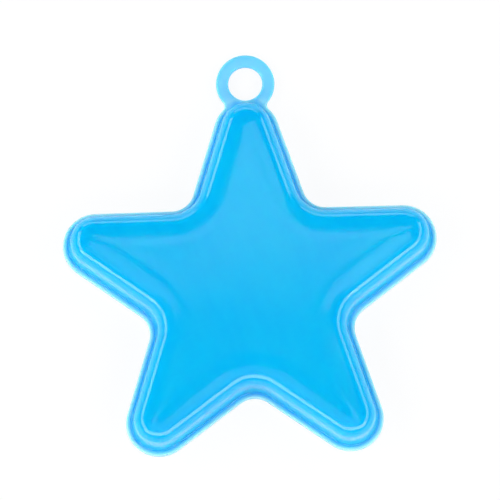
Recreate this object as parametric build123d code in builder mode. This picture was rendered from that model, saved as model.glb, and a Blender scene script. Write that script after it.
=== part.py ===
"""Star-shaped balloon weight: a moulded shell with a hanging ring, its back plate and the ballast inside.

Sizes are millimetres. The weight lies on its back, as it rests on a table: the origin is the centre of
the star on the plane of the rim, +Z points out of the closed face and +Y points at the hanging ring.
"""

from build123d import *
import math
import os

# Star outline, round the outside of the rim
ARMS = 5
TIP_REACH = 32.0
TIP_RADIUS = 5.4
NOTCH_REACH = 17.8
NOTCH_RADIUS = 3.8

# Section of the shell
HEIGHT = 8.0
RIM_HEIGHT = 1.3
RIM_STEP = 0.9
RIM_CHAMFER = 0.25
WALL = 1.6
FACE_THICKNESS = 1.4
DRAFT = 6.0
FACE_ROUND = 2.3
INNER_CHAMFER = 1.0

# Back plate and the seat that it is welded to
PLATE_THICKNESS = 1.2
PLATE_RECESS = 1.0
PLATE_CHAMFER = 0.3
PLATE_GAP = 0.1
SEAT_WIDTH = 0.7

# Gate mark in the middle of the back plate
GATE_RADIUS = 0.6
GATE_HEIGHT = 0.25
DIMPLE_RADIUS = 2.5
DIMPLE_DEPTH = 0.4

# Hanging ring
RING_BORE_RADIUS = 2.85
RING_WIDTH = 1.95
RING_PAST_TIP = 2.85
RING_BLEND = 1.0

# Ballast
BALLAST_GAP = 0.2

# Worked out from the sizes above
pitch = 360 / ARMS
arm_angles = [90 + pitch * arm for arm in range(ARMS)]
tip_centre = TIP_REACH - TIP_RADIUS
notch_centre = NOTCH_REACH + NOTCH_RADIUS
tip_to_notch = Vector(notch_centre, 0).rotate(Axis.Z, pitch / 2) - Vector(tip_centre, 0)
lean = math.tan(math.radians(DRAFT))
seat_height = PLATE_RECESS + PLATE_THICKNESS
ceiling = HEIGHT - FACE_THICKNESS
ring_centre = Vector(0, TIP_REACH + RING_PAST_TIP)
ring_radius = RING_BORE_RADIUS + RING_WIDTH

# Angle from an arm's own direction to the outward normal of its straight side
side_normal = Vector(1, 0).get_angle(tip_to_notch) - math.degrees(
    math.acos((TIP_RADIUS + NOTCH_RADIUS) / tip_to_notch.length)
)


def outer_inset(height):
    """How far the outside of the drafted wall lies inside the rim's outline."""
    return RIM_STEP + (height - RIM_HEIGHT) * lean


def cavity_inset(height):
    """How far the inside of the drafted wall lies inside the rim's outline."""
    return outer_inset(height) + WALL


pocket_inset = cavity_inset(seat_height) - SEAT_WIDTH
plate_inset = pocket_inset + PLATE_GAP
ballast_top = ceiling - BALLAST_GAP

# Edge breaks stay inside the walls and tips that carry them, up to these shares
BAND_SHARE = 0.4
CORNER_SHARE = 0.8
rim_chamfer = min(RIM_CHAMFER, BAND_SHARE * RIM_HEIGHT, BAND_SHARE * RING_WIDTH)
face_room = min(TIP_RADIUS - outer_inset(HEIGHT), HEIGHT - RIM_HEIGHT)
face_round = min(FACE_ROUND, CORNER_SHARE * face_room)
inner_room = min(TIP_RADIUS - cavity_inset(ceiling), ceiling - seat_height)
inner_chamfer = min(INNER_CHAMFER, CORNER_SHARE * inner_room)


def star(inset, height):
    """The star at this height as a flat face, its outline moved inwards by inset."""
    with BuildSketch(Plane.XY.offset(height)) as outline:
        with BuildLine():
            tips = [
                CenterArc(
                    Vector(tip_centre, 0).rotate(Axis.Z, angle),
                    TIP_RADIUS - inset,
                    angle - side_normal,
                    2 * side_normal,
                )
                for angle in arm_angles
            ]
            notches = [
                CenterArc(
                    Vector(notch_centre, 0).rotate(Axis.Z, angle + pitch / 2),
                    NOTCH_RADIUS + inset,
                    angle + side_normal + 180,
                    pitch - 2 * side_normal,
                )
                for angle in arm_angles
            ]
            for tip, notch, next_tip in zip(tips, notches, tips[1:] + tips[:1]):
                Line(tip @ 1, notch @ 0)
                Line(notch @ 1, next_tip @ 0)
        make_face()
    return outline.sketch


os.makedirs("parts", exist_ok=True)

# Front shell: rim and ring, drafted wall and closed face, hollow from the back
with BuildPart() as front_shell:
    with BuildSketch() as band:
        add(star(0, 0))
        with Locations(ring_centre):
            Circle(ring_radius)
        on_ring = band.vertices().filter_by(
            lambda corner: math.isclose((corner.center() - ring_centre).length, ring_radius, rel_tol=1e-4)
        )
        fillet(on_ring.sort_by(Axis.Y)[:2], RING_BLEND)
        with Locations(ring_centre):
            Circle(RING_BORE_RADIUS, mode=Mode.SUBTRACT)
    extrude(amount=RIM_HEIGHT)
    chamfer(front_shell.faces().filter_by(Plane.XY).edges(), rim_chamfer)

    loft([star(outer_inset(RIM_HEIGHT / 2), RIM_HEIGHT / 2), star(outer_inset(HEIGHT), HEIGHT)], ruled=True)
    fillet(front_shell.faces().sort_by(Axis.Z)[-1].edges(), face_round)

    loft(
        [star(cavity_inset(seat_height), seat_height), star(cavity_inset(ceiling), ceiling)],
        ruled=True,
        mode=Mode.SUBTRACT,
    )
    chamfer(front_shell.edges().filter_by_position(Axis.Z, ceiling, ceiling), inner_chamfer)

    extrude(star(pocket_inset, 0), amount=seat_height, mode=Mode.SUBTRACT)
    mouth = front_shell.faces().sort_by(Axis.Z)[0].inner_wires().sort_by(SortBy.LENGTH)[-1]
    chamfer(mouth.edges(), PLATE_CHAMFER)

front_shell.part.label = "front_shell"
export_step(front_shell.part, "parts/front_shell.step")

# Back plate: closes the shell on its seat, a little inside the rim
with BuildPart() as back_plate:
    extrude(star(plate_inset, PLATE_RECESS), amount=PLATE_THICKNESS)
    chamfer(back_plate.faces().sort_by(Axis.Z)[0].edges(), PLATE_CHAMFER)
    with BuildSketch(Plane.XY.offset(PLATE_RECESS)):
        Circle(DIMPLE_RADIUS)
    extrude(amount=DIMPLE_DEPTH, mode=Mode.SUBTRACT)
    with BuildSketch(Plane.XY.offset(PLATE_RECESS + DIMPLE_DEPTH)):
        Circle(GATE_RADIUS)
    extrude(amount=-GATE_HEIGHT)

back_plate.part.label = "back_plate"
export_step(back_plate.part, "parts/back_plate.step")

# Ballast: a slug that rests on the back plate and fills the hollow but for a small gap
with BuildPart() as ballast:
    loft(
        [
            star(cavity_inset(seat_height) + BALLAST_GAP, seat_height),
            star(cavity_inset(ballast_top) + BALLAST_GAP, ballast_top),
        ],
        ruled=True,
    )
    chamfer(ballast.faces().sort_by(Axis.Z)[-1].edges(), inner_chamfer)

ballast.part.label = "ballast"
export_step(ballast.part, "parts/ballast.step")
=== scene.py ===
"""Looks of the star-shaped balloon weight: moulded shell, back plate, ballast, studio and camera."""

import math

import bmesh
import bpy
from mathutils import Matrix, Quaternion, Vector, noise
from mathutils.geometry import delaunay_2d_cdt


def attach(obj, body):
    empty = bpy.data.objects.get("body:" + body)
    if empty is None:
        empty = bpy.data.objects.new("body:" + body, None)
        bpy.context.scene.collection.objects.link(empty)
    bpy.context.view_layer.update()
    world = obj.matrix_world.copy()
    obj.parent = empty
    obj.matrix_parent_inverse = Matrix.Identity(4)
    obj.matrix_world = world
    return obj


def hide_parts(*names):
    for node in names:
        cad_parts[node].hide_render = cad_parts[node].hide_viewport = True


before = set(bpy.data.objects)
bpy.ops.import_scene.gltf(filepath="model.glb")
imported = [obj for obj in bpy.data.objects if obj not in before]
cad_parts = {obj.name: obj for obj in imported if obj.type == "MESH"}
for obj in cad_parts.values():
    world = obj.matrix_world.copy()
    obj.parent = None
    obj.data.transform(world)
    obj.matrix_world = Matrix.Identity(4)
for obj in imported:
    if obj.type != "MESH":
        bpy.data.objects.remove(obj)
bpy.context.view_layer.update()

# Sizes in millimetres, the same as in the solids; meshes are scaled to metres when they are written
METRES = 0.001
ARMS = 5
TIP_REACH = 32.0
TIP_RADIUS = 5.4
NOTCH_REACH = 17.8
NOTCH_RADIUS = 3.8
HEIGHT = 8.0
RIM_HEIGHT = 1.3
RIM_STEP = 0.9
WALL = 1.6
FACE_THICKNESS = 1.4
DRAFT = 6.0
FACE_ROUND = 2.3
INNER_CHAMFER = 1.0
PLATE_THICKNESS = 1.2
PLATE_RECESS = 1.0
PLATE_CHAMFER = 0.3
PLATE_GAP = 0.1
SEAT_WIDTH = 0.7
GATE_RADIUS = 0.6
GATE_HEIGHT = 0.25
DIMPLE_RADIUS = 2.5
DIMPLE_DEPTH = 0.4
RING_BORE_RADIUS = 2.85
RING_WIDTH = 1.95
RING_PAST_TIP = 2.85
RING_BLEND = 1.0

# Fine form that only the looks have: the rim's rounds and the line where the mould halves met
RIM_ROUND = 0.25
RIM_FOOT_ROUND = 0.2
PARTING_PROUD = 0.04
PARTING_HALF = 0.1

# Crown of the closed face: slope at its edge in degrees, reach, and the part of it that is built as rings
CROWN_TILT = 8.0
CROWN_REACH = 3.2
CROWN_BAND = 1.5

# Slight sink and slow wave of the closed face
FACE_SINK = 0.01
SINK_REACH = 4.5
FACE_WAVE = 0.012
WAVE_LENGTH = 9.0

# Broken edge and drafts of the gate recess
DIMPLE_LIP = 0.15
DIMPLE_LIP_DEPTH = 0.12
DIMPLE_DRAFT = 0.1
GATE_DRAFT = 0.08

# Painted glow: a paler tint standing in for light shining through the thinner plastic, full at the rim, these
# shares at the ring and the foot of the wall
PAINTED_GLOW_LAYER = "painted_glow"
RING_GLOW_SHARE = 0.48
RING_FADE_BELOW_TIP = 1.5
RING_FADE_PAST_TIP = 1.0
WALL_GLOW_SHARE = 0.08
WALL_FADE_TOP = 6.5

# How finely the meshes are divided
ROUND_STEPS = 8
WALL_STEPS = 4
CROWN_STEPS = 5
TIP_STEPS = 26
RINGED_TIP_STEPS = 8
NOTCH_STEPS = 14
SIDE_STEPS = 10
RING_STEPS = 64
BLEND_STEPS = 10
FACE_GRID = 0.8
GRID_CLEAR = 0.7
GRID_ROW = math.sqrt(0.75)

# Settings of Blender's own tools
HULL_TRIANGLES = 0
MERGE_GAP = 1e-5
FLAT_WEIGHT = 100

pitch = 360 / ARMS
arm_angles = [90 + pitch * arm for arm in range(ARMS)]
tip_centre = TIP_REACH - TIP_RADIUS
notch_centre = NOTCH_REACH + NOTCH_RADIUS
lean = math.tan(math.radians(DRAFT))
seat_height = PLATE_RECESS + PLATE_THICKNESS
ceiling = HEIGHT - FACE_THICKNESS
ring_centre = Vector((0, TIP_REACH + RING_PAST_TIP))
ring_radius = RING_BORE_RADIUS + RING_WIDTH


def polar(radius, degrees):
    """A point in the plane at this radius and angle."""
    return Vector((radius * math.cos(math.radians(degrees)), radius * math.sin(math.radians(degrees))))


# Angle from an arm's own direction to the outward normal of its straight side
tip_to_notch = polar(notch_centre, pitch / 2) - Vector((tip_centre, 0))
side_normal = math.degrees(
    math.atan2(tip_to_notch.y, tip_to_notch.x) - math.acos((TIP_RADIUS + NOTCH_RADIUS) / tip_to_notch.length)
)


def outer_inset(height):
    """How far the outside of the drafted wall lies inside the rim's outline."""
    return RIM_STEP + (height - RIM_HEIGHT) * lean


def cavity_inset(height):
    """How far the inside of the drafted wall lies inside the rim's outline."""
    return outer_inset(height) + WALL


pocket_inset = cavity_inset(seat_height) - SEAT_WIDTH


def arc(centre, radius, start, sweep, steps, hollow=False):
    """Points on an arc with the outward normal of the outline there, without the last point."""
    turn = -1 if hollow else 1
    angles = [start + sweep * step / steps for step in range(steps)]
    return [(centre + polar(radius, angle), turn * polar(1, angle)) for angle in angles]


def straight(begin, end, normal, steps):
    """Points on a straight side with its outward normal, without the last point."""
    return [(begin.lerp(end, step / steps), normal) for step in range(steps)]


def arm_outline(angle, tip):
    """One arm of the rim's outline, from the given tip to the start of the next one."""
    centre = polar(notch_centre, angle + pitch / 2)
    start = angle + side_normal + 180
    sweep = pitch - 2 * side_normal
    tip_end = polar(tip_centre, angle) + polar(TIP_RADIUS, angle + side_normal)
    notch_start = centre + polar(NOTCH_RADIUS, start)
    notch_end = centre + polar(NOTCH_RADIUS, start + sweep)
    next_tip = polar(tip_centre, angle + pitch) + polar(TIP_RADIUS, angle + pitch - side_normal)
    return (
        tip
        + straight(tip_end, notch_start, polar(1, angle + side_normal), SIDE_STEPS)
        + arc(centre, NOTCH_RADIUS, start, sweep, NOTCH_STEPS, hollow=True)
        + straight(notch_end, next_tip, polar(1, angle + pitch - side_normal), SIDE_STEPS)
    )


def plain_tip(angle):
    """The rounded tip of one arm."""
    return arc(polar(tip_centre, angle), TIP_RADIUS, angle - side_normal, 2 * side_normal, TIP_STEPS)


def ringed_tip():
    """The top arm's tip with the hanging ring and the two blends into it."""
    tip = polar(tip_centre, 90)
    apart = ring_centre.y - tip.y
    to_tip = TIP_RADIUS + RING_BLEND
    to_ring = ring_radius + RING_BLEND
    along = (to_tip**2 - to_ring**2 + apart**2) / (2 * apart)
    across = math.sqrt(to_tip**2 - along**2)
    at_tip = math.degrees(math.atan2(along, across))
    at_ring = math.degrees(math.atan2(along - apart, across))
    bend = at_ring - at_tip
    right = tip + Vector((across, along))
    left = tip + Vector((-across, along))
    first = 90 - side_normal
    return (
        arc(tip, TIP_RADIUS, first, at_tip - first, RINGED_TIP_STEPS)
        + arc(right, RING_BLEND, at_tip + 180, bend, BLEND_STEPS, hollow=True)
        + arc(ring_centre, ring_radius, at_ring, 180 - 2 * at_ring, RING_STEPS)
        + arc(left, RING_BLEND, -at_ring, bend, BLEND_STEPS, hollow=True)
        + arc(tip, TIP_RADIUS, 180 - at_tip, at_tip - first, RINGED_TIP_STEPS)
    )


star_outline = [point for angle in arm_angles for point in arm_outline(angle, plain_tip(angle))]
band_outline = arm_outline(arm_angles[0], ringed_tip()) + [
    point for angle in arm_angles[1:] for point in arm_outline(angle, plain_tip(angle))
]
bore_outline = arc(ring_centre, RING_BORE_RADIUS, 360, -360, RING_STEPS, hollow=True)


def ring_of(shape, outline, inset, height):
    """A closed ring of vertices: the outline moved inwards by inset, at this height."""
    return [shape.verts.new((*(point - normal * inset), height)) for point, normal in outline]


def eased(value, low, high):
    """0 below low, 1 above high, and a smooth rise between them."""
    share = min(max((value - low) / (high - low), 0.0), 1.0)
    return share * share * (3 - 2 * share)


def mark_painted_glow(painted_glow, low_parts, walls):
    """Stores the painted glow, a paleness standing in for light shining through the plastic: most at the rim,
    less at the ring and the foot of the wall.
    """
    fade_start = TIP_REACH - RING_FADE_BELOW_TIP
    fade_end = TIP_REACH + RING_FADE_PAST_TIP
    for vert in low_parts:
        vert[painted_glow] = 1 - (1 - RING_GLOW_SHARE) * eased(vert.co.y, fade_start, fade_end)
    for vert in walls:
        vert[painted_glow] = WALL_GLOW_SHARE * (1 - eased(vert.co.z, RIM_HEIGHT, WALL_FADE_TOP))


def skin(shape, rings):
    """Joins rings of equal length with quads, one after another."""
    for low, high in zip(rings, rings[1:]):
        for step in range(len(low)):
            shape.faces.new((low[step - 1], low[step], high[step], high[step - 1]))


def inside(point, loop):
    """Whether a point in the plane lies inside a closed loop of vertices."""
    odd = False
    for before, after in zip(loop[-1:] + loop[:-1], loop):
        ax, ay, _ = before.co
        bx, by, _ = after.co
        if (ay > point.y) != (by > point.y) and point.x < ax + (point.y - ay) / (by - ay) * (bx - ax):
            odd = not odd
    return odd


def distance_to(point, loop):
    """Distance in the plane from a point to a closed loop of vertices."""
    gaps = []
    for before, after in zip(loop[-1:] + loop[:-1], loop):
        begin = before.co.xy
        along = after.co.xy - before.co.xy
        share = min(max((point - begin).dot(along) / along.length_squared, 0.0), 1.0)
        gaps.append((point - begin - along * share).length)
    return min(gaps)


def fill(shape, outer, holes=(), extra=(), upwards=True):
    """Triangles between a loop, the holes in it and loose vertices inside, all at about one height."""
    loops = [outer, *holes]
    verts = [vert for loop in loops for vert in loop] + list(extra)
    edges = []
    first = 0
    for loop in loops:
        edges += [(first + step, first + (step + 1) % len(loop)) for step in range(len(loop))]
        first += len(loop)
    flat = [vert.co.xy for vert in verts]
    _, _, faces, origins, _, _ = delaunay_2d_cdt(flat, edges, [], HULL_TRIANGLES, MERGE_GAP)
    for face in faces:
        corners = [verts[origins[corner][0]] for corner in face]
        middle = sum((corner.co.xy for corner in corners), Vector((0, 0))) / len(corners)
        if inside(middle, outer) and not any(inside(middle, hole) for hole in holes):
            shape.faces.new(corners if upwards else corners[::-1])


def quarter(radius, start, end):
    """Steps on a rounded edge: (sideways, upwards) on an arc between two angles in degrees."""
    angles = [start + (end - start) * step / ROUND_STEPS for step in range(ROUND_STEPS + 1)]
    return [tuple(polar(radius, angle)) for angle in angles]


def rim_profile():
    """(inset, height) up the rim's rounded edge, with the fine raised line where the mould halves met."""
    low = [(RIM_ROUND - out, RIM_ROUND + up) for out, up in quarter(RIM_ROUND, -90, 0)]
    high = [(RIM_ROUND - out, RIM_HEIGHT - RIM_ROUND + up) for out, up in quarter(RIM_ROUND, 0, 90)]
    middle = RIM_HEIGHT / 2
    line = [(0, middle - PARTING_HALF), (-PARTING_PROUD, middle), (0, middle + PARTING_HALF)]
    return low + line + high


def crown_rise(reach):
    """How far the face has risen at this distance inside its rounded edge."""
    reach = min(reach, CROWN_REACH)
    return math.tan(math.radians(CROWN_TILT)) * (reach - reach**2 / (2 * CROWN_REACH))


crown_foot = HEIGHT - crown_rise(CROWN_REACH)


def wall_profile():
    """(inset, height) from the rim up the drafted wall, over the rounded edge and up the face's crown."""
    slope = 90 - DRAFT
    half_slope = math.tan(math.radians(slope / 2))
    foot_inset = outer_inset(RIM_HEIGHT) - RIM_FOOT_ROUND * half_slope
    turns = [math.radians(slope * step / ROUND_STEPS) for step in range(ROUND_STEPS + 1)]
    foot = [
        (foot_inset + RIM_FOOT_ROUND * math.sin(turn), RIM_HEIGHT + RIM_FOOT_ROUND * (1 - math.cos(turn)))
        for turn in turns
    ]
    round_inset = outer_inset(HEIGHT) + FACE_ROUND * half_slope
    round_height = crown_foot - FACE_ROUND * math.cos(math.radians(CROWN_TILT))
    shoulder = [
        (round_inset - out, round_height + up)
        for out, up in quarter(FACE_ROUND, DRAFT, 90 - CROWN_TILT)
    ]
    crown_inset = shoulder[-1][0]
    reaches = [CROWN_BAND * step / CROWN_STEPS for step in range(1, CROWN_STEPS + 1)]
    crown = [(crown_inset + reach, crown_foot + crown_rise(reach)) for reach in reaches]
    low_inset, low_height = foot[-1]
    top_inset, top_height = shoulder[0]
    shares = [step / WALL_STEPS for step in range(1, WALL_STEPS)]
    wall = [
        (low_inset + (top_inset - low_inset) * share, low_height + (top_height - low_height) * share)
        for share in shares
    ]
    return foot + wall + shoulder + crown


def face_height(point, edge):
    """Height of the closed face: its crown, a slight sink and a slow wave, as such mouldings have."""
    reach = distance_to(point, edge)
    wave = noise.noise(Vector((*point, 0)) / WAVE_LENGTH)
    sink = eased(reach, 0.0, SINK_REACH) * (FACE_SINK + FACE_WAVE * wave)
    return crown_foot + crown_rise(CROWN_BAND + reach) - sink


def grid_inside(loop, spacing):
    """Points of a triangular grid that lie well inside a loop."""
    rows = math.ceil(TIP_REACH / (spacing * GRID_ROW))
    columns = math.ceil(TIP_REACH / spacing)
    points = [
        Vector(((column + row % 2 / 2) * spacing, row * spacing * GRID_ROW))
        for row in range(-rows, rows + 1)
        for column in range(-columns, columns + 1)
    ]
    clear = GRID_CLEAR * spacing
    return [point for point in points if inside(point, loop) and distance_to(point, loop) > clear]


def finish_mesh(shape, name, material):
    """Writes a mesh in metres as a piece of the part that rides on the one body."""
    bmesh.ops.recalc_face_normals(shape, faces=shape.faces)
    bmesh.ops.scale(shape, vec=(METRES,) * 3, verts=shape.verts)
    mesh = bpy.data.meshes.new(name)
    shape.to_mesh(mesh)
    shape.free()
    mesh.shade_smooth()
    mesh.materials.append(material)
    piece = bpy.data.objects.new(name, mesh)
    bpy.context.scene.collection.objects.link(piece)
    weighted = piece.modifiers.new("Even flats", "WEIGHTED_NORMAL")
    weighted.weight = FLAT_WEIGHT
    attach(piece, "root")
    return piece


def front_shell_mesh():
    """The shell: rim with the hanging ring, drafted wall, closed face, and the hollow behind it."""
    shape = bmesh.new()
    painted_glow = shape.verts.layers.float.new(PAINTED_GLOW_LAYER)
    band = [ring_of(shape, band_outline, inset, height) for inset, height in rim_profile()]
    bore = [ring_of(shape, bore_outline, inset, height) for inset, height in rim_profile()]
    skin(shape, band)
    skin(shape, bore)

    wall = [ring_of(shape, star_outline, inset, height) for inset, height in wall_profile()]
    skin(shape, wall)
    fill(shape, band[-1], holes=(bore[-1], wall[0]))

    edge = wall[-1]
    sunk = [shape.verts.new((*point, face_height(point, edge))) for point in grid_inside(edge, FACE_GRID)]
    fill(shape, edge, extra=sunk)

    hollow = [
        (pocket_inset - PLATE_CHAMFER, 0),
        (pocket_inset, PLATE_CHAMFER),
        (pocket_inset, seat_height),
        (cavity_inset(seat_height), seat_height),
        (cavity_inset(ceiling - INNER_CHAMFER), ceiling - INNER_CHAMFER),
        (cavity_inset(ceiling) + INNER_CHAMFER, ceiling),
    ]
    inner = [ring_of(shape, star_outline, inset, height) for inset, height in hollow]
    skin(shape, inner)
    fill(shape, inner[-1], upwards=False)
    fill(shape, band[0], holes=(bore[0], inner[0]), upwards=False)
    # Painted glow shares for the rim, the ring and the foot of the wall, standing in for light shining
    # through them
    mark_painted_glow(painted_glow, [vert for ring in band + bore for vert in ring], [vert for ring in wall for vert in ring])
    return shape


def back_plate_mesh():
    """The back plate with its gate recess and the gate's nub."""
    shape = bmesh.new()
    plate_inset = pocket_inset + PLATE_GAP
    profile = [
        (plate_inset + PLATE_CHAMFER - out, PLATE_RECESS + PLATE_CHAMFER + up)
        for out, up in quarter(PLATE_CHAMFER, -90, 0)
    ]
    profile.append((plate_inset, seat_height))
    sides = [ring_of(shape, star_outline, inset, height) for inset, height in profile]
    skin(shape, sides)
    fill(shape, sides[-1])

    circle = arc(Vector((0, 0)), 1.0, 0, 360, RING_STEPS)
    floor = PLATE_RECESS + DIMPLE_DEPTH
    recess = [
        (DIMPLE_RADIUS + DIMPLE_LIP, PLATE_RECESS),
        (DIMPLE_RADIUS, PLATE_RECESS + DIMPLE_LIP_DEPTH),
        (DIMPLE_RADIUS - DIMPLE_DRAFT, floor),
        (GATE_RADIUS, floor),
        (GATE_RADIUS - GATE_DRAFT, floor - GATE_HEIGHT),
    ]
    dimple = [ring_of(shape, circle, 1.0 - radius, height) for radius, height in recess]
    skin(shape, dimple)
    fill(shape, dimple[-1], upwards=False)
    fill(shape, sides[0], holes=(dimple[0],), upwards=False)
    return shape


# Looks: patterns are (features per millimetre, detail), bumps are (strength, depth in millimetres)
CLOUD_RANGE = (0.35, 0.65)
GRAIN_RANGE = (0.3, 0.7)
SCUFF_LINES = (1.0, 0.0)
SCUFF_LENGTH = 11.0
SCUFF_LINE_RANGE = (0.72, 0.78)
SCUFF_PATCHES = (0.11, 3.0)
SCUFF_PATCH_RANGE = (0.45, 0.62)
PLASTIC = {
    "IOR": 1.49,
    "Subsurface Weight": 0.9,
    "Subsurface Radius": (0.3, 0.8, 1.0),
    "Subsurface Scale": 2.0 * METRES,
}

# Shell
SHELL_TONES = ((0.0, 0.475, 0.965, 1), (0.0, 0.510, 0.990, 1))
SHELL_CLOUDS = (0.09, 4.0)
FLOW_TONE = (0.004, 0.530, 0.990, 1)
FLOW_SHARE = 0.35
FLOW = (0.6, 2.0)
FLOW_STRETCH = (1.0, 5.5, 1.7)
FLOW_TURN = 18.0
# Painted glow: the paler tint that stands in for light shining through the rim, the ring and the foot of the
# wall
PAINTED_GLOW_TONE = (0.36, 0.75, 0.98, 1)
SHELL_GRAIN = (2.2, 3.0)
SHELL_ROUGHNESS = (0.08, 0.12)
SHELL_SCUFF_TURNS = (12.0, 71.0, 128.0)
SHELL_SCUFF_WIDTH = 0.2
SHELL_SCUFF_ROUGHNESS = 0.08
SHELL_SCUFF_BUMP = (0.05, 0.02)
PEEL = (1.1, 1.0)
PEEL_BUMP = (0.05, 0.12)

# Back plate
PLATE_TONES = ((0.0, 0.400, 0.905, 1), (0.002, 0.445, 0.950, 1))
PLATE_CLOUDS = (0.07, 4.0)
EROSION = (4.5, 2.0)
EROSION_ROUGHNESS = (0.34, 0.46)
EROSION_BUMP = (0.25, 0.05)
PLATE_SCUFF_TURNS = (34.0, 97.0, 160.0)
PLATE_SCUFF_WIDTH = 0.25
PLATE_SCUFF_ROUGHNESS = -0.1
PLATE_SCUFF_BUMP = (0.2, 0.02)

# Mineral fill
STONE_TONES = ((0.66, 0.64, 0.60, 1), (0.82, 0.80, 0.76, 1))
STONE_CLOUDS = (0.4, 5.0)
SPECK_TONE = (0.42, 0.40, 0.37, 1)
SPECKS = (1.9, 3.0)
SPECK_RANGE = (0.62, 0.7)
STONE_GRAINS = 1.6
STONE_GRAIN_RANGE = (0.0, 0.6)
STONE_ROUGHNESS = (0.95, 0.8)
STONE_GRAIN_BUMP = (0.5, 0.15)
DUST = (3.0, 4.0)
DUST_BUMP = (0.4, 0.08)


class Nodes:
    """Short ways to add and link shader nodes in one material."""

    def __init__(self, name):
        self.material = bpy.data.materials.new(name)
        self.material.use_nodes = True
        self.tree = self.material.node_tree
        coordinates = self.tree.nodes.new("ShaderNodeTexCoord")
        millimetres = self.tree.nodes.new("ShaderNodeVectorMath")
        millimetres.operation = "SCALE"
        millimetres.inputs["Scale"].default_value = 1 / METRES
        self.tree.links.new(coordinates.outputs["Object"], millimetres.inputs[0])
        self.place = millimetres.outputs[0]

    def link(self, value, socket):
        """Sets a socket from another socket, or from a plain value."""
        if isinstance(value, bpy.types.NodeSocket):
            self.tree.links.new(value, socket)
        else:
            socket.default_value = value

    def noise(self, pattern, stretch=None, turn=0.0):
        """A noise value, stretched after a turn about Z where a stretch is given."""
        place = self.place
        if stretch:
            mapping = self.tree.nodes.new("ShaderNodeMapping")
            mapping.vector_type = "TEXTURE"
            mapping.inputs["Rotation"].default_value = (0, 0, math.radians(turn))
            mapping.inputs["Scale"].default_value = stretch
            self.link(place, mapping.inputs["Vector"])
            place = mapping.outputs["Vector"]
        node = self.tree.nodes.new("ShaderNodeTexNoise")
        scale, detail = pattern
        node.inputs["Scale"].default_value = scale
        node.inputs["Detail"].default_value = detail
        self.link(place, node.inputs["Vector"])
        return node.outputs["Fac"]

    def spread(self, value, span, target=(0.0, 1.0)):
        """A value remapped from one range to another, held at its ends."""
        node = self.tree.nodes.new("ShaderNodeMapRange")
        for socket, number in zip(("From Min", "From Max", "To Min", "To Max"), (*span, *target)):
            node.inputs[socket].default_value = number
        self.link(value, node.inputs["Value"])
        return node.outputs["Result"]

    def math(self, operation, first, second):
        """One arithmetic step."""
        node = self.tree.nodes.new("ShaderNodeMath")
        node.operation = operation
        self.link(first, node.inputs[0])
        self.link(second, node.inputs[1])
        return node.outputs[0]

    def mix(self, share, first, second):
        """A colour between two others."""
        node = self.tree.nodes.new("ShaderNodeMix")
        node.data_type = "RGBA"
        sockets = {socket.identifier: socket for socket in (*node.inputs, *node.outputs)}
        self.link(share, sockets["Factor_Float"])
        self.link(first, sockets["A_Color"])
        self.link(second, sockets["B_Color"])
        return sockets["Result_Color"]

    def bump(self, height, look, normal=None):
        """A bump, on top of another normal where one is given."""
        node = self.tree.nodes.new("ShaderNodeBump")
        strength, depth = look
        node.inputs["Strength"].default_value = strength
        node.inputs["Distance"].default_value = depth * METRES
        self.link(height, node.inputs["Height"])
        if normal:
            self.link(normal, node.inputs["Normal"])
        return node.outputs["Normal"]

    def scuffs(self, turns, width):
        """Sparse hairline scuffs in several directions, from 0 to 1."""
        lines = None
        for turn in turns:
            streak = self.noise(SCUFF_LINES, (SCUFF_LENGTH, width, 1.0), turn)
            line = self.spread(streak, SCUFF_LINE_RANGE)
            lines = self.math("MAXIMUM", lines, line) if lines else line
        return self.math("MULTIPLY", lines, self.spread(self.noise(SCUFF_PATCHES), SCUFF_PATCH_RANGE))

    def finished(self, looks):
        """The material, with the shader's named inputs set."""
        shader = self.tree.nodes["Principled BSDF"]
        for socket, value in looks.items():
            self.link(value, shader.inputs[socket])
        return self.material


def shell_material():
    """Translucent azure plastic, polished, with faint pigment clouds, hairline scuffs and a painted glow at
    the rim, the ring and the foot of the wall.
    """
    nodes = Nodes("blue_plastic_shell")
    clouds = nodes.spread(nodes.noise(SHELL_CLOUDS), CLOUD_RANGE)
    flow = nodes.spread(nodes.noise(FLOW, FLOW_STRETCH, FLOW_TURN), CLOUD_RANGE)
    tone = nodes.mix(clouds, *SHELL_TONES)
    tone = nodes.mix(nodes.math("MULTIPLY", flow, FLOW_SHARE), tone, FLOW_TONE)
    # Painted glow at the rim, the ring and the foot of the wall, mixed into the colour from the stored shares
    painted_glow = nodes.tree.nodes.new("ShaderNodeAttribute")
    painted_glow.attribute_name = PAINTED_GLOW_LAYER
    tone = nodes.mix(painted_glow.outputs["Fac"], tone, PAINTED_GLOW_TONE)
    scuffs = nodes.scuffs(SHELL_SCUFF_TURNS, SHELL_SCUFF_WIDTH)
    grain = nodes.spread(nodes.noise(SHELL_GRAIN), GRAIN_RANGE, SHELL_ROUGHNESS)
    rough = nodes.math("ADD", grain, nodes.math("MULTIPLY", scuffs, SHELL_SCUFF_ROUGHNESS))
    peel = nodes.bump(nodes.noise(PEEL), PEEL_BUMP)
    normal = nodes.bump(scuffs, SHELL_SCUFF_BUMP, peel)
    return nodes.finished({"Base Color": tone, "Roughness": rough, "Normal": normal, **PLASTIC})


def plate_material():
    """The same plastic with a finely eroded, duller surface, as the back of such mouldings has."""
    nodes = Nodes("blue_plastic_plate")
    clouds = nodes.spread(nodes.noise(PLATE_CLOUDS), CLOUD_RANGE)
    tone = nodes.mix(clouds, *PLATE_TONES)
    scuffs = nodes.scuffs(PLATE_SCUFF_TURNS, PLATE_SCUFF_WIDTH)
    erosion = nodes.noise(EROSION)
    dull = nodes.spread(erosion, GRAIN_RANGE, EROSION_ROUGHNESS)
    rough = nodes.math("ADD", dull, nodes.math("MULTIPLY", scuffs, PLATE_SCUFF_ROUGHNESS))
    normal = nodes.bump(scuffs, PLATE_SCUFF_BUMP, nodes.bump(erosion, EROSION_BUMP))
    return nodes.finished({"Base Color": tone, "Roughness": rough, "Normal": normal, **PLASTIC})


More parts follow.
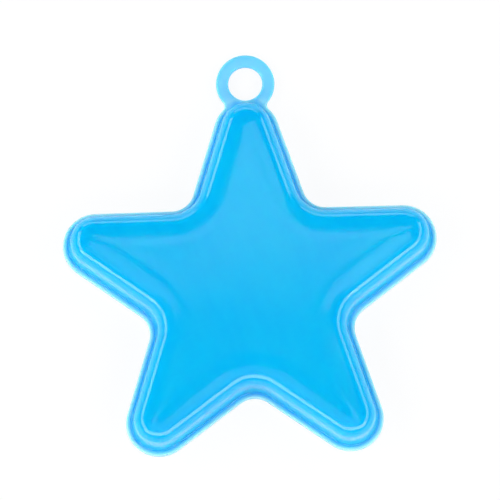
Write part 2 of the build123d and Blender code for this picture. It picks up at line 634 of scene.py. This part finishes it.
def mineral_material():
    """Pale cast mineral fill with fine grains and darker specks."""
    nodes = Nodes("mineral_fill")
    grains = nodes.tree.nodes.new("ShaderNodeTexVoronoi")
    grains.inputs["Scale"].default_value = STONE_GRAINS
    nodes.link(nodes.place, grains.inputs["Vector"])
    specks = nodes.spread(nodes.noise(SPECKS), SPECK_RANGE)
    stone = nodes.mix(nodes.noise(STONE_CLOUDS), *STONE_TONES)
    tone = nodes.mix(specks, stone, SPECK_TONE)
    rough = nodes.spread(grains.outputs["Distance"], STONE_GRAIN_RANGE, STONE_ROUGHNESS)
    coarse = nodes.bump(grains.outputs["Distance"], STONE_GRAIN_BUMP)
    normal = nodes.bump(nodes.noise(DUST), DUST_BUMP, coarse)
    return nodes.finished({"Base Color": tone, "Roughness": rough, "Normal": normal})


shell = finish_mesh(front_shell_mesh(), "moulded_shell", shell_material())
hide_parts("front_shell")
plate = finish_mesh(back_plate_mesh(), "inset_plate", plate_material())
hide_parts("back_plate")

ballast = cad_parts["ballast"]
ballast.data.materials.clear()
ballast.data.materials.append(mineral_material())

# White table, in metres: its half width, its place below the part, and where the part's shadow fades out
FLOOR_HALF = 2.0
FLOOR_DROP = 0.00005
FLOOR_NEAR = 0.07
FLOOR_FAR = 0.25

# White table: shares that take shadow as seen and as mirrored, the light it throws back, and open white
FLOOR_SHADE = 0.1
FLOOR_MIRRORED = 1.0
FLOOR_BOUNCE = 0.9
WHITE = 1.0


def floor_material():
    """White where the table is open, darkened close to the part by its shadow, and clear from below."""
    material = bpy.data.materials.new("white_table")
    material.use_nodes = True
    tree = material.node_tree
    tree.nodes.remove(tree.nodes["Principled BSDF"])

    def mixed(share, first, second):
        """One shader or another, by share."""
        node = tree.nodes.new("ShaderNodeMixShader")
        for source, socket in zip((share, first, second), node.inputs):
            tree.links.new(source, socket)
        return node.outputs[0]

    def matte(level):
        """A grey that is lit by the lamps."""
        node = tree.nodes.new("ShaderNodeBsdfDiffuse")
        node.inputs["Color"].default_value = (level, level, level, 1)
        return node.outputs[0]

    def glow(level):
        """An even light of its own."""
        node = tree.nodes.new("ShaderNodeEmission")
        node.inputs["Strength"].default_value = level
        return node.outputs[0]

    path = tree.nodes.new("ShaderNodeLightPath").outputs
    place = tree.nodes.new("ShaderNodeTexCoord")
    reach = tree.nodes.new("ShaderNodeVectorMath")
    reach.operation = "LENGTH"
    tree.links.new(place.outputs["Object"], reach.inputs[0])
    far = tree.nodes.new("ShaderNodeMapRange")
    far.interpolation_type = "SMOOTHSTEP"
    far.inputs["From Min"].default_value = FLOOR_NEAR
    far.inputs["From Max"].default_value = FLOOR_FAR
    tree.links.new(reach.outputs["Value"], far.inputs["Value"])
    white = glow(WHITE)

    def shaded(share):
        """White that takes this share of the part's shadow close to it, and none far away."""
        node = tree.nodes.new("ShaderNodeAddShader")
        tree.links.new(matte(share), node.inputs[0])
        tree.links.new(glow(WHITE - share), node.inputs[1])
        return mixed(far.outputs["Result"], node.outputs[0], white)

    mirrored = shaded(FLOOR_MIRRORED)
    top = matte(FLOOR_BOUNCE)
    for kind, look in (("Glossy", mirrored), ("Transmission", mirrored), ("Camera", shaded(FLOOR_SHADE))):
        top = mixed(path[f"Is {kind} Ray"], top, look)
    clear = tree.nodes.new("ShaderNodeBsdfTransparent").outputs[0]
    side = tree.nodes.new("ShaderNodeNewGeometry")
    whole = mixed(side.outputs["Backfacing"], top, clear)
    whole = mixed(path["Is Shadow Ray"], whole, clear)
    tree.links.new(whole, tree.nodes["Material Output"].inputs["Surface"])
    return material


floor_mesh = bpy.data.meshes.new("white_table")
corners = [
    (-FLOOR_HALF, -FLOOR_HALF, -FLOOR_DROP),
    (FLOOR_HALF, -FLOOR_HALF, -FLOOR_DROP),
    (FLOOR_HALF, FLOOR_HALF, -FLOOR_DROP),
    (-FLOOR_HALF, FLOOR_HALF, -FLOOR_DROP),
]
floor_mesh.from_pydata(corners, [], [range(len(corners))])
floor_mesh.materials.append(floor_material())
floor = bpy.data.objects.new("white_table", floor_mesh)
bpy.context.scene.collection.objects.link(floor)

# Room: dim overhead, paler up to this height above the horizon
ROOM_LIGHT = 0.02
HORIZON_LIGHT = 0.8
HORIZON_TOP = 0.35


def room_world():
    """A dim room with a pale horizon, and white where the camera sees it directly."""
    world = bpy.data.worlds.new("studio_room")
    world.use_nodes = True
    tree = world.node_tree
    room = tree.nodes["Background"]
    room.inputs["Color"].default_value = (WHITE, WHITE, WHITE, 1)
    direction = tree.nodes.new("ShaderNodeTexCoord")
    height = tree.nodes.new("ShaderNodeSeparateXYZ")
    light = tree.nodes.new("ShaderNodeMapRange")
    light.interpolation_type = "SMOOTHSTEP"
    light.inputs["From Max"].default_value = HORIZON_TOP
    light.inputs["To Min"].default_value = HORIZON_LIGHT
    light.inputs["To Max"].default_value = ROOM_LIGHT
    path = tree.nodes.new("ShaderNodeLightPath")
    level = tree.nodes.new("ShaderNodeMapRange")
    level.inputs["To Max"].default_value = WHITE
    tree.links.new(direction.outputs["Generated"], height.inputs["Vector"])
    tree.links.new(height.outputs["Z"], light.inputs["Value"])
    tree.links.new(path.outputs["Is Camera Ray"], level.inputs["Value"])
    tree.links.new(light.outputs["Result"], level.inputs["To Min"])
    tree.links.new(level.outputs["Result"], room.inputs["Strength"])
    return world


bpy.context.scene.world = room_world()

# Lamps as (place, size, radiance), in metres: soft boxes light the part and are mirrored in it
SOFT_BOXES = {
    "overhead_box": ((0.0, 0.19, 0.8), (0.14, 0.08), 1.2),
    "left_box": ((-0.77, 0.0, 0.65), (0.4, 1.2), 3.4),
    "right_box": ((0.77, 0.0, 0.65), (0.4, 1.2), 2.8),
    "near_box": ((0.0, -0.74, 0.67), (2.4, 0.5), 2.0),
    "far_box": ((0.0, 0.9, 0.45), (1.2, 0.35), 2.2),
}

# Cards are only mirrored
CARDS = {
    "near_card": ((0.0, -0.73, 0.66), (2.4, 0.5), 2.4),
    "high_card": ((0.0, -0.31, 0.95), (0.7, 0.55), 0.5),
    "right_high_card": ((0.15, 0.22, 0.8), (0.14, 0.08), 1.2),
    "left_card": ((-0.118, 0.035, 0.8), (0.1, 0.15), 0.8),
    "right_card": ((0.118, 0.035, 0.8), (0.1, 0.15), 1.2),
}

# Fills only light the part
FILLS = {
    "ceiling_fill": ((0.0, 0.0, 1.2), (1.2, 1.2), 0.5),
    "left_fill": ((-0.95, 0.0, 0.25), (0.4, 1.0), 1.6),
    "right_fill": ((0.95, 0.0, 0.25), (0.4, 1.0), 1.0),
    "under_fill": ((0.0, 0.0, -0.7), (1.2, 1.2), 1.1),
}

for lamp_name, (place, (width, depth), radiance) in {**SOFT_BOXES, **CARDS, **FILLS}.items():
    lamp = bpy.data.lights.new(lamp_name, "AREA")
    lamp.shape = "RECTANGLE"
    lamp.size = width
    lamp.size_y = depth
    lamp.energy = radiance * math.pi * width * depth
    box = bpy.data.objects.new(lamp_name, lamp)
    box.location = place
    box.rotation_mode = "QUATERNION"
    box.rotation_quaternion = Vector((0, 0, -1)).rotation_difference(-Vector(place))
    box.visible_camera = False
    box.visible_glossy = lamp_name not in FILLS
    box.visible_diffuse = lamp_name not in CARDS
    bpy.context.scene.collection.objects.link(box)

# Camera, in metres and degrees: almost straight down, from the side away from the ring
AIM = Vector((0.0, 0.0065, 0.003))
CAMERA_DISTANCE = 0.87
CAMERA_ELEVATION = 79.4
CAMERA_ROLL = -1.65
FIELD = 0.082
SENSOR = 36.0
CLIP_START = 0.01

elevation = math.radians(CAMERA_ELEVATION)
back = Vector((0.0, -math.cos(elevation), math.sin(elevation)))
camera_data = bpy.data.cameras.new("camera")
camera_data.sensor_width = SENSOR
camera_data.lens = SENSOR * CAMERA_DISTANCE / FIELD
camera_data.clip_start = CLIP_START
camera = bpy.data.objects.new("camera", camera_data)
camera.location = AIM + back * CAMERA_DISTANCE
camera.rotation_mode = "QUATERNION"
roll = Quaternion((0, 0, 1), math.radians(CAMERA_ROLL))
camera.rotation_quaternion = (-back).to_track_quat("-Z", "Y") @ roll
bpy.context.scene.collection.objects.link(camera)
bpy.context.scene.camera = camera
bpy.context.scene.view_settings.view_transform = "Standard"
